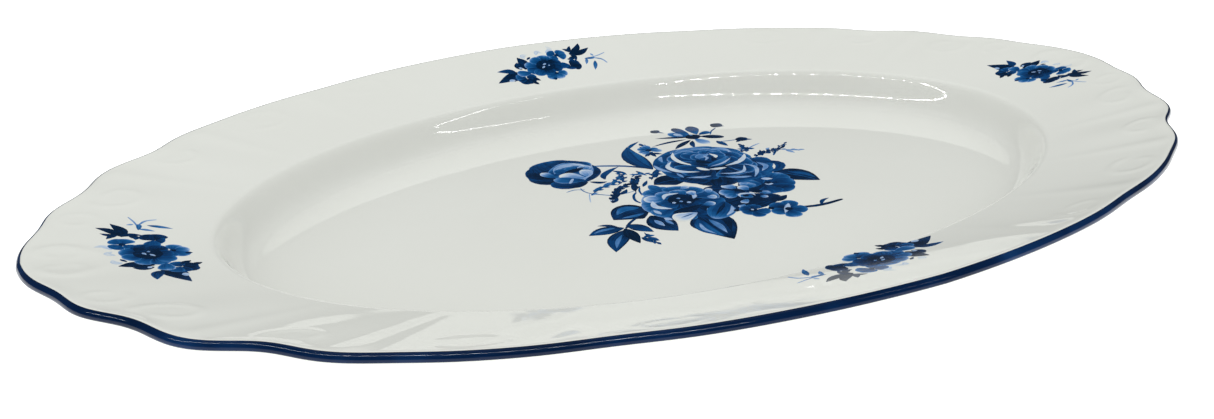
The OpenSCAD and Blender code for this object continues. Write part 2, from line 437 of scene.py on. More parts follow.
# %% Leaves and stems of the bouquet
leaf_marks = [
    (LINE, 0.5, 55, 50, 0, -19.5, 19, -20, 16.5, -19, 13, -16, 10, -14, 8.3, -10, 7.5, -6, 8),
    (LINE, 0.4, 25, 20, 0, -19.5, 13, -21, 10, -22.5, 6.5),
    (LINE, 0.5, 45, 50, 0, -19, 17, -22, 18.5, -25, 18),
    (LINE, 0.9, 75, 70, 0, -9.7, -2, -10, 1, -8.5, 4.5, -6.5, 6.5),
    (LINE, 0.7, 75, 60, 0, -6, 3.5, -5, 7, -3.5, 9.5),
    (LEAF, 1.8, 70, 50, 20, -17.5, 13.5, -15, 15.5, -12, 16.8),
    (LEAF, 1.8, 60, 45, 20, -13, 16.2, -10, 17.8, -8, 17.5),
    (LEAF, 1.6, 70, 50, 20, -9.5, 17, -7.5, 18.5, -6.5, 20.3),
    (LEAF, 1.4, 45, 30, 20, -19.5, 11.5, -18, 12.5, -16.5, 12.4),
    (LEAF, 2.6, 90, 80, 20, -17, 2.5, -15, 5, -13.5, 8.5),
    (LEAF, 2.4, 95, 85, 10, -14, 6, -12, 9, -10.5, 13),
    (LEAF, 2, 85, 70, 10, -11, 10, -9, 12.5, -6, 13.8),
    (LEAF, 1.8, 90, 80, 10, -12, 7.5, -9.5, 8.6, -7.5, 10.5),
    (DOT, 1.4, 20, 15, 0, -16.6, 4.5, -15.2, 5.5),
    (LEAF, 2.3, 95, 85, 10, -6.3, 7.8, -4.5, 11, -3.2, 14.5),
    (LEAF, 2, 85, 70, 10, -4, 12, -2.6, 15, -1.8, 18),
    (LEAF, 1.8, 90, 80, 10, -4.2, 12.5, -1.8, 14.5, 0.8, 17.4),
    (LEAF, 1.5, 80, 60, 10, -5.2, 17.5, -4.3, 20.5, -3, 23.8),
    (LEAF, 1.3, 45, 35, 0, -0.5, 21.4, 3.2, 19.3),
    (LEAF, 1.4, 80, 70, 0, 3, 23.2, 3.9, 17.6),
    (LEAF, 2.2, 90, 75, 20, 5.6, 14.5, 7.4, 18, 10.4, 21.6),
    (LEAF, 1.4, 80, 70, 0, -2.2, 9.6, 1.8, 13.8),
    (LINE, 1.3, 50, 90, 0, -7.5, 35, -2, 32, 3, 28.5, 8.5, 22.5),
    (LEAF, 2.4, 85, 70, 10, -9.3, 21.6, -8, 25, -4, 28, 0.3, 29.8),
    (LEAF, 1.5, 80, 65, 10, -3.5, 27.5, -1.5, 24.5, -1.2, 21.5),
    (LEAF, 7.6, 80, 68, -25, 8.5, 21.5, 8.2, 30, 9.2, 38, 12.3, 45.4),
    (LEAF, 2.2, 65, 55, 0, 9.2, 24.5, 10.1, 31, 11.2, 37, 11.4, 42.5),
    (LINE, 0.35, 85, 80, 0, 8.6, 23, 8.8, 32, 10.8, 42),
    (LEAF, 1.6, 75, 60, 0, 11.2, 43, 14.5, 46, 18.7, 48.3),
    (LEAF, 9.4, 100, 95, 10, 13.5, 8.5, 7.5, 10.2, 1.6, 9.3),
    (LINE, 0.4, 80, 75, 0, 12, 8.7, 7.5, 9.9, 2.5, 9.4),
    (LEAF, 10.4, 96, 90, -10, 40.5, -1, 45.5, -7, 48.7, -14.8),
    (LEAF, 2.4, 75, 65, 0, 44.6, -3, 48, -7.4, 49, -12),
    (LINE, 0.5, 70, 65, 0, 41.5, -2.5, 45.4, -7.5, 48, -13),
    (LEAF, 12.6, 92, 82, -25, -10, -7, -16.5, -6.8, -23.3, -9.3),
    (LEAF, 3.4, 60, 50, 0, -12, -5, -16.5, -3.6, -20.6, -6.4),
    (LEAF, 1.6, 55, 45, 0, -13, -9.6, -17, -9.8, -20.4, -9.4),
    (LINE, 0.5, 95, 95, 0, -11, -7.2, -17, -7.4, -22, -9),
    (LINE, 1, 85, 90, 0, -16, -11, -20, -13.5, -23.3, -16.8),
    (LEAF, 5.4, 85, 72, -30, -23.5, -16, -29.5, -15.2, -35, -15.8),
    (LEAF, 1.3, 50, 40, 0, -25.5, -15, -29.5, -14.4, -33, -15.2),
    (LEAF, 6.2, 88, 72, -30, -23, -17.5, -29.5, -23, -33.8, -29.8),
    (LEAF, 1.4, 50, 40, 0, -26.6, -20.2, -30, -23.8, -32.4, -27.6),
    (LEAF, 4.2, 100, 100, 0, -23.6, -16.5, -24.2, -22, -25, -28),
    (LEAF, 4.6, 85, 75, -20, -22, -14.5, -19.5, -18.5, -17.6, -23),
    (LEAF, 2, 85, 70, 0, -22.6, -24.5, -21.4, -29.8),
    (LEAF, 1.6, 80, 60, 0, -20.6, -25.5, -19.4, -29.2),
    (LEAF, 1.4, 70, 50, 0, -21, -24.5, -18.6, -25.2),
    (LEAF, 1.8, 90, 80, 0, -24.5, -17, -26.5, -12.5, -29.5, -10.8),
    (LEAF, 8.6, 95, 80, -10, -12.2, -12, -12.3, -19.5, -11.2, -26),
    (LEAF, 1.9, 40, 25, 10, -13, -15.6, -12.7, -21),
    (LEAF, 1.3, 45, 35, 0, -10.2, -17, -9.9, -21.5),
    (LINE, 0.5, 95, 95, 0, -11.8, -13, -11.6, -19, -11.1, -25),
    (LEAF, 13.6, 90, 85, -25, 0.2, -18.5, 0.4, -27, -0.8, -39.2),
    (LEAF, 4.8, 75, 50, -20, -1.8, -21.5, -3.7, -28.5, -2, -36),
    (LEAF, 1.3, 35, 25, 0, -3, -24.5, -4.2, -29, -3, -33.5),
    (LEAF, 2.2, 50, 35, 10, 0.8, -23.5, 0.9, -29, 0, -34.5),
    (LEAF, 2.8, 100, 100, 0, 3.5, -20.5, 5.2, -26, 1.8, -34),
    (LINE, 0.5, 95, 95, 0, -0.4, -20, -0.8, -29, -1, -38),
    (LINE, 1.6, 90, 95, 0, 28, -29, 33, -31, 38, -31.6, 44.4, -31.2),
    (LEAF, 3, 100, 95, 0, 25.5, -22, 29, -20.9, 32, -19.6),
    (LEAF, 1.4, 85, 80, 0, 36, -31.4, 38.5, -28.9, 41.5, -28.2),
    (LINE, 0.8, 60, 70, 0, 50, 12, 52.5, 14.5, 54.8, 17.4),
    (LEAF, 1.2, 90, 85, 0, 55.6, 16.3, 58, 17.4, 60.4, 19.8),
    (LEAF, 1.6, 35, 25, 0, 56.8, 14.4, 57.6, 10.2),
    (LEAF, 1.4, 35, 20, 0, 57.8, 13.8, 61.3, 11.3),
    (LEAF, 1.6, 90, 80, 0, 46.7, 13.6, 49.3, 18.9),
    (DOT, 1.7, 85, 70, 20, 49, 15, 51, 15),
    (LEAF, 1.2, 40, 30, 0, 51.2, 17.9, 53.4, 19.1),
    (LINE, 0.6, 35, 30, 0, 47, 22.3, 50, 23.6, 53.2, 24.6),
    (LINE, 0.6, 60, 70, 0, 44, 41.5, 46.5, 44.5, 49.8, 46.8),
    (LINE, 0.6, 55, 60, 0, 42, 33.5, 46, 32.4, 48.8, 32),
]
# Fine stems: how many leaves, their length and width, the ink, and the points of the stem.
sprigs = [
    (11, 2.4, 1.3, 70, 50, -19.5, 12, -14, 15.4, -8.5, 17, -5.5, 20.5),
    (12, 2.6, 1.7, 95, 85, -17, 3, -13.6, 7.6, -10, 11.6, -5.4, 13.6),
    (10, 2.4, 1.5, 95, 80, -6.6, 6.5, -4, 11, -2, 16, 1, 18),
    (8, 2.2, 1.2, 80, 65, -8.4, 15, -5, 17.4, -3, 21, -2.6, 24.4),
    (8, 2, 1.1, 70, 50, -1, 19, 2, 20.6, 4.6, 19, 7.6, 17),
    (6, 2.2, 1.4, 85, 70, 3.2, 13.4, 5.8, 16.4, 9.6, 19),
    (7, 2.4, 1.4, 85, 70, 42, 20, 45.6, 22, 46.4, 26),
    (11, 2.4, 1.5, 90, 80, 43, 13, 47, 15.6, 51, 16.4, 55, 16.6),
    (7, 2, 1, 80, 75, 51, 12.6, 54.4, 16.4, 60.4, 19.8),
    (5, 2, 0.9, 45, 30, 55, 16, 58, 13.6, 61, 12),
    (9, 2.6, 1.6, 80, 60, 14, 33.4, 16.4, 38, 17.4, 44),
    (7, 2.2, 1.1, 80, 65, -20.2, -22, -21, -26, -20.6, -30),
]
for row in sprigs:
    leaf_marks += sprig(*row)

# %% Buds and small flowers of the bouquet
small_marks = [
    (FAN, 16, 90, 80, 30, -18, 30, -19, 46.8),
    (PETAL, 9, 95, 90, 20, -19, 27, -25.6, 33, -24.6, 43.4),
    (PETAL, 8, 95, 90, 15, -16, 27.5, -23.5, 29.6, -30, 35),
    (PETAL, 5, 100, 95, 10, -20, 29, -26.6, 35, -27, 40),
    (PETAL, 9, 85, 60, 60, -13, 31, -9, 41.6),
    (DOT, 16.6, 70, 45, 50, -23, 33.6, -6.4, 34),
    (CREST, 2.4, 85, 75, 0, -21.6, 41, -15, 44.2, -9, 40.4, -7, 35),
    (PETAL, 3.6, 75, 15, 20, -22.4, 31, -24.2, 37.8),
    (CREST, 2.6, 35, 20, 20, -21, 34.6, -17.6, 39, -12, 39.8, -8.6, 36.4),
    (PETAL, 5, 85, 60, 30, -18, 32, -18, 38),
    (PETAL, 5.4, 85, 50, 40, -14, 32, -13.4, 38.6),
    (PETAL, 4.4, 60, 20, 40, -11, 32, -9.2, 37),
    (LEAF, 2.8, 100, 100, 0, -18, 33.4, -14, 34.2, -9.6, 35.2),
    (PETAL, 6, 45, 5, 40, -14, 26, -17, 29.5, -20.4, 32.4),
    (PETAL, 4.6, 45, 12, 40, -12.6, 26.4, -11.4, 30, -11.6, 33.4),
    (CREST, 2.8, 90, 85, 20, -18.6, 22, -12, 25.4, -7.6, 30, -6.4, 36),
    (CREST, 0.9, 30, 25, 0, -15.6, 25.4, -11, 28, -8.6, 32),
    (PETAL, 7.6, 95, 80, 30, -15, 23, -21.6, 23.6, -25.8, 27.4),
    (PETAL, 5.6, 80, 55, 50, -14.6, 24, -19, 26.6, -23.6, 30),
    (LINE, 1, 30, 20, 0, -20.6, 24.2, -17.8, 27.6),
    (LEAF, 2.2, 95, 90, 0, -15, 22.4, -19.5, 20.8, -22.6, 21.6),
    (LEAF, 1.8, 90, 80, 0, -14.5, 22.4, -12, 20, -9.6, 19.6),
    (PETAL, 4.6, 65, 40, 30, 37, 43, 33.6, 47, 32.2, 50.6),
    (PETAL, 4.2, 55, 95, 10, 37, 44, 36.2, 54.4),
    (PETAL, 4.6, 55, 95, 10, 40, 44, 42.6, 53.2),
    (PETAL, 3.8, 100, 90, 10, 39.5, 42, 46.8, 36.8),
    (PETAL, 3.2, 75, 60, 30, 40.5, 43.5, 45.6, 44.6),
    (PETAL, 4.2, 50, 20, 40, 37, 41, 38.2, 33.2),
    (PETAL, 2.4, 30, 15, 20, 34.8, 45, 33.4, 48.8),
    (LEAF, 1.8, 95, 85, 0, 36, 42.8, 31, 45.4, 25, 47.8),
    (LEAF, 1.5, 90, 80, 0, 34, 41.4, 27, 41.8, 19.6, 41),
    (LEAF, 2.3, 95, 85, 0, 35, 40.2, 29.5, 37.4, 25.2, 34.6),
    (LEAF, 1.9, 90, 70, 0, 35, 39, 33, 36, 31.6, 32.2),
    (DOT, 5, 100, 100, 0, 34.6, 42.8, 40.4, 42.4),
    (DOT, 1, 45, 40, 0, 37.4, 44.6, 38.4, 44.4),
    (LEAF, 2.5, 85, 70, 20, 42, 34.6, 42.5, 28),
    (DOT, 3.4, 95, 85, 10, 27.2, 54, 30.8, 55),
    (LEAF, 1, 80, 70, 0, 29, 54, 31, 51.4),
    (DOT, 4.4, 100, 85, 10, 49.3, 48, 53.8, 50.2),
    (LEAF, 1.4, 85, 80, 0, 50, 48.6, 53.6, 46.8),
    (DOT, 4.2, 100, 90, 10, 48.2, 31.4, 52.8, 31.6),
    (LEAF, 1.3, 90, 80, 0, 50, 31, 47, 29.8),
    (LEAF, 1.3, 85, 70, 0, 51, 31, 53.6, 29.4),
    (PETAL, 3.2, 75, 40, 30, 16.5, 39, 14.6, 42),
    (PETAL, 3.2, 70, 35, 40, 17, 39, 18.2, 43.6),
    (PETAL, 3, 75, 50, 30, 17, 38.6, 20.6, 39),
    (PETAL, 3, 60, 30, 40, 17, 38, 20.8, 35.8),
    (PETAL, 3, 65, 40, 40, 16.4, 38, 12.8, 38),
    (PETAL, 2.8, 60, 35, 40, 16.2, 37.4, 13.4, 35.4),
    (DOT, 2.2, 95, 90, 0, 15.8, 38.6, 18, 38.4),
    (LEAF, 1.6, 85, 80, 0, 16, 35.6, 12.6, 33.6),
    (LEAF, 1.6, 85, 80, 0, 16, 35.6, 19, 32.8),
    (LEAF, 1.6, 90, 80, 0, 16, 36.4, 15.8, 31.4),
    (LEAF, 1.6, 85, 70, 20, 46.2, 22, 44.2, 19.6),
    (LEAF, 1.8, 85, 70, 20, 46, 22, 45.8, 26),
    (LEAF, 1.6, 80, 60, 20, 46, 22, 43.2, 23.6),
    (LEAF, 1.6, 80, 60, 20, 46.3, 22, 48.8, 21.2),
    (DOT, 1.5, 95, 90, 0, 45.4, 22, 46.9, 22),
    (DOT, 1.7, 40, 30, 20, 43.2, 13, 45, 13),
    (DOT, 1.5, 40, 30, 20, 45.2, 11, 46.8, 11),
]

# %% Rose of the bouquet
rose_marks = [
    (DOT, 30, 95, 95, 10, 11.5, 14.5, 42.5, 14.5),
    (FAN, 15, 90, 80, 30, 25, 17, 12.2, 27.5),
    (FAN, 16, 90, 80, 50, 26, 19, 19, 32.6),
    (FAN, 16, 85, 70, 60, 28, 20, 29.5, 33.4),
    (FAN, 14, 85, 75, 50, 31, 19, 39.4, 28),
    (FAN, 12, 85, 70, 50, 32, 17, 42.8, 19.6),
    (FAN, 11, 90, 75, 40, 32, 13, 45.6, 6.4),
    (FAN, 12, 90, 75, 50, 31, 11, 40.5, -0.6),
    (FAN, 14, 95, 80, 40, 29, 11, 30, -3.6),
    (FAN, 13, 100, 95, 10, 26, 12, 18, -2),
    (FAN, 13, 95, 90, 20, 24, 13, 11.2, 6),
    (FAN, 14, 90, 80, 40, 24, 15, 9.8, 17.5),
    (CREST, 1.6, 30, 35, 0, 10.6, 24.5, 10.5, 20, 12.2, 15.6),
    (CREST, 1.2, 35, 35, 0, 13.2, 14.4, 13, 9.6),
    (CREST, 1.4, 30, 40, 0, 17.2, 30.4, 15.6, 28.6, 14.6, 25.6),
    (FAN, 12, 95, 80, 90, 24, 17, 14.6, 22.6),
    (FAN, 12, 90, 75, 70, 25, 15, 14.4, 14.4),
    (FAN, 11, 95, 85, 40, 26, 13, 16.8, 6.6),
    (FAN, 12, 95, 85, 80, 29, 11, 28.6, 2.4),
    (FAN, 11, 90, 78, 80, 31, 12, 38.2, 5),
    (FAN, 12, 88, 75, 80, 31, 15, 41.2, 14.2),
    (FAN, 12, 85, 72, 70, 31, 19, 39.4, 24.6),
    (FAN, 12, 85, 70, 80, 29, 20, 33, 30.4),
    (FAN, 12, 90, 75, 90, 26, 19, 21.6, 30.4),
    (CREST, 2.2, 10, 8, 0, 17.4, 24.6, 13.8, 21, 14, 17, 16, 14, 20.2, 11.4),
    (CREST, 1.8, 2, 2, 0, 22.6, 32, 20, 27.4, 19.8, 22, 22.2, 17),
    (CREST, 2.8, 50, 40, 40, 22, 30.8, 28, 32.3, 35.6, 28.8),
    (PETAL, 8, 85, 70, 60, 27, 21, 25.5, 29.5),
    (PETAL, 8, 80, 62, 60, 31, 21, 34.5, 28),
    (CREST, 1.7, 25, 15, 0, 39.4, 23.6, 38.8, 20.6, 36, 18.2),
    (CREST, 2.2, 35, 30, 0, 34.6, 27.6, 38.6, 26.8, 40, 23),
    (CREST, 2, 12, 10, 0, 42.6, 18.4, 39.6, 14.8, 35.2, 12.4, 30.6, 11.9),
    (PETAL, 7, 90, 72, 50, 34, 18, 40.4, 21),
    (CREST, 2, 5, 5, 0, 21.6, 15.6, 22.4, 13.2, 24, 11),
    (CREST, 1.7, 8, 5, 0, 24.2, 11.8, 27, 10.8, 30, 10.4),
    (CREST, 1.4, 35, 30, 0, 13.6, 9.2, 18, 7, 21.4, 6.4),
    (CREST, 1.4, 25, 20, 0, 24.6, 7, 29, 4.5, 33, 4.8, 36.2, 9.4),
    (CREST, 1.4, 30, 25, 0, 36.8, 10.4, 38.2, 6, 36.2, 2, 32.6, -1.8),
    (CREST, 1.7, 35, 30, 0, 24.6, 3.2, 28.6, 0.6, 32.4, -0.7),
    (CREST, 1.8, 40, 35, 20, 41.2, 9.6, 41.8, 5, 38, 1.6),
    (LEAF, 3.4, 85, 75, 30, 43, 9.6, 46.8, 5, 44, 0.6, 38, -0.8),
    (PETAL, 6, 95, 85, 40, 27, 14, 22.5, 20.5),
    (PETAL, 6, 88, 70, 70, 28, 17, 27.4, 26.6),
    (PETAL, 6.5, 85, 68, 70, 32, 17, 34.6, 26),
    (PETAL, 6.5, 90, 78, 60, 31, 16, 38, 17),
    (DOT, 10.6, 85, 75, 50, 24.8, 17.8, 36, 19),
    (LEAF, 3.6, 50, 30, 20, 26.2, 22.6, 29, 24, 32, 24.2),
    (LEAF, 3, 100, 100, 0, 25, 21.4, 26.2, 18.6, 28.6, 16.8),
    (LEAF, 4.2, 65, 55, 20, 25.2, 14.4, 30, 15, 35.6, 19),
    (CREST, 1.5, 5, 5, 0, 31.6, 19.8, 33, 21.6, 32.4, 24.6),
    (CREST, 1, 30, 25, 0, 27.6, 19.6, 29.6, 21.4, 29.6, 23.8),
    (LEAF, 1.8, 100, 95, 0, 29.4, 18, 31.2, 19.6, 31, 22.6),
    (CREST, 1, 20, 20, 0, 26, 13.8, 31, 14.4, 36.4, 17.4),
]

# %% Peony of the bouquet, and the flowers beside it
peony_marks = [
    (DOT, 23, 95, 95, 10, -11, -8, 13.5, -8),
    (DOT, 16, 90, 90, 10, 9, -8, 24, -10),
    (DOT, 17, 90, 85, 20, 23, -8, 41, -9),
    (DOT, 12, 95, 95, 10, 8, -17, 30, -19),
    (PETAL, 9, 85, 60, 50, 31, -8, 31, 0.6),
    (PETAL, 9, 85, 60, 50, 34, -8, 41.6, -2.6),
    (PETAL, 9, 90, 65, 40, 34, -9, 41.6, -10.6),
    (PETAL, 8, 90, 70, 40, 33, -10, 36.6, -17),
    (PETAL, 8, 85, 65, 40, 31, -10, 29.6, -16.6),
    (PETAL, 7, 75, 45, 50, 31, -8, 25, -4),
    (LEAF, 2, 20, 15, 0, 33.4, -4, 36.6, -6),
    (LEAF, 1.8, 25, 20, 0, 31.8, -8.4, 34.2, -9.8),
    (DOT, 2.2, 100, 95, 0, 32.2, -8.2, 34.4, -7.6),
    (PETAL, 4.6, 70, 35, 30, 24.6, -9, 28.2, -5),
    (PETAL, 3.8, 55, 10, 30, 24.6, -10, 23.6, -5.8),
    (PETAL, 4.4, 60, 10, 30, 21.8, -7, 20, -2),
    (PETAL, 5, 75, 30, 40, 20, -9, 15, -7.8),
    (PETAL, 3.8, 70, 30, 30, 19.6, -10.4, 15, -12),
    (LEAF, 2.2, 100, 100, 0, 20.8, -6.6, 22.6, -11.4),
    (LEAF, 2.4, 100, 100, 0, 10.6, -10.6, 13.8, -13.6),
    (LEAF, 2.4, 100, 100, 0, 24.6, -11, 27.8, -13.4),
    (PETAL, 5.4, 80, 55, 50, 22.8, -12, 19.4, -14.2),
    (CREST, 1.1, 20, 15, 0, 18.8, -14, 20, -11.6, 23.4, -12.8, 23.6, -15),
    (DOT, 1.9, 100, 100, 0, 20, -13.4, 22, -13.6),
    (PETAL, 2.6, 60, 30, 20, 26.6, -15.4, 29, -13.8),
    (PETAL, 2.2, 60, 25, 20, 24.4, -16.2, 26.4, -17.8),
    (PETAL, 2.6, 50, 20, 20, 19.8, -16.4, 16.6, -18.2),
    (PETAL, 2.4, 50, 20, 20, 16.6, -19.2, 14, -20.8),
    (FAN, 11, 85, 60, 50, 1, -5, -1.6, 6.6),
    (FAN, 8, 85, 62, 50, 3, -5, 5.6, 5),
    (PETAL, 3.6, 75, 50, 20, 0.4, 2, 0.2, 9.8),
    (FAN, 8.4, 80, 45, 40, -1, -5, -8, 0.6),
    (FAN, 9, 85, 60, 50, -2, -8, -11.4, -6),
    (FAN, 9, 85, 60, 40, -2, -10, -10.6, -14),
    (FAN, 9, 90, 75, 40, 0, -11, -6, -20),
    (FAN, 10, 95, 85, 20, 3, -11, 4, -20),
    (FAN, 9, 90, 70, 40, 5, -9, 12.4, -15),
    (FAN, 8, 85, 60, 60, 6, -6, 14.6, -7),
    (FAN, 7, 85, 60, 60, 5, -4, 12, 0.4),
    (PETAL, 6, 60, 12, 40, -2, -3.6, -7.4, 0.4),
    (CREST, 2.2, 15, 12, 0, -6, -2.6, -7.4, -7, -4, -11),
    (CREST, 1.6, 25, 20, 0, -9.4, -9, -9, -13),
    (PETAL, 7, 90, 70, 40, 0, -7, -5.4, -8),
    (PETAL, 7, 95, 80, 30, 2, -7, 2.6, -13.6),
    (PETAL, 6, 80, 50, 50, 1, -4, -1.4, 2.6),
    (PETAL, 6, 80, 50, 50, 3, -4, 5.4, 1.6),
    (DOT, 9, 100, 100, 10, -2, -6, 6.6, -6),
    (CREST, 1.6, 15, 12, 0, -2.4, -3.2, 0, -0.4, 4.4, -1),
    (CREST, 1.5, 20, 15, 0, 5.8, -7.4, 7.4, -5.4, 8, -2.6),
    (DOT, 1.4, 25, 20, 0, 2.4, -9, 3.8, -9.2),
    (DOT, 1.3, 25, 20, 0, -1.6, -7, -0.4, -7.2),
    (DOT, 1.2, 40, 30, 0, 1.4, -4.6, 2.6, -4.8),
    (DOT, 1.2, 40, 30, 0, 0.8, -7.2, 2, -7.4),
    (LEAF, 3.6, 100, 100, 0, -5.4, -13.6, 0, -14, 5.6, -12.4),
    (PETAL, 6.2, 30, 3, 40, 0.8, -17.4, -8, -18.4),
    (LEAF, 1.8, 25, 20, 0, -9.8, -15.8, -8.4, -18.4),
    (LEAF, 0.7, 70, 60, 0, -0.6, -17.4, -5.4, -18.2),
    (PETAL, 3.2, 65, 20, 30, 5.8, -13, 9.8, -13.4),
    (PETAL, 3, 40, 12, 30, 5.2, -16, 5.8, -19.2),
    (PETAL, 3, 50, 8, 30, 7.4, -5, 8.4, -1.2),
    (PETAL, 2.4, 50, 12, 30, 6.8, 1.8, 10.4, 2.8),
    (PETAL, 2.6, 50, 8, 30, 12.4, -5.6, 14.6, -2.4),
    (PETAL, 3, 40, 15, 30, 10.2, -8.2, 13, -9.6),
    (PETAL, 8.4, 85, 55, 40, 12.6, -14, 8.6, -19, 2.8, -24.2),
    (CREST, 1.4, 30, 20, 0, 12.6, -18, 10.6, -21.4, 7, -23.8),
    (LEAF, 1.4, 95, 90, 0, 12.2, -15, 8.4, -18.6, 4.4, -22),
    (LEAF, 1.8, 100, 100, 0, 14, -18, 17.2, -18.6),
    (DOT, 1.9, 100, 100, 0, 10.8, -22, 12.7, -22),
    (PETAL, 4.6, 90, 65, 40, 16, -24.5, 12.4, -26),
    (PETAL, 4.6, 90, 60, 50, 16, -25, 15.6, -30),
    (PETAL, 4.6, 85, 60, 40, 16.4, -25, 20, -28),
    (PETAL, 4.6, 90, 70, 40, 16.4, -24, 18.6, -20.8),
    (PETAL, 4.6, 90, 70, 40, 16, -24, 13.4, -21),
    (DOT, 2.6, 100, 100, 10, 14.8, -24.6, 17.4, -24.4),
    (DOT, 1, 25, 20, 0, 15.6, -24, 16.5, -24),
    (PETAL, 5.6, 85, 60, 40, 25.5, -29, 30.2, -23.8),
    (PETAL, 5.6, 90, 70, 40, 25.4, -28.6, 23.4, -23),
    (PETAL, 5.4, 85, 60, 40, 25, -29, 19.8, -29.6),
    (PETAL, 5.4, 85, 55, 50, 25.4, -29.6, 23.8, -35.4),
    (PETAL, 5.4, 85, 60, 40, 26, -29.4, 30.6, -32),
    (LEAF, 1.8, 20, 15, 0, 28.2, -25.6, 25.6, -28.4, 22.8, -31.2),
    (DOT, 2.6, 100, 95, 10, 24.4, -29.4, 27, -29),
    (DOT, 2, 100, 100, 0, 20.6, -26, 22.5, -26),
]
bouquet_marks = leaf_marks + small_marks + peony_marks + rose_marks
bouquet = lay_print("bouquet_print_skin", bouquet_marks, lambda x, y: floor_z + 0 * x)

# %% [markdown]
# Each rim print is a dark flower with smaller ones round it, pointed leaves at its foot and a star
# of leaves and pale twigs at its head. The four are the same transfer, turned to follow the rim.
# Here +Y runs along the rim to the twigs, and -X runs outward, towards the lip.

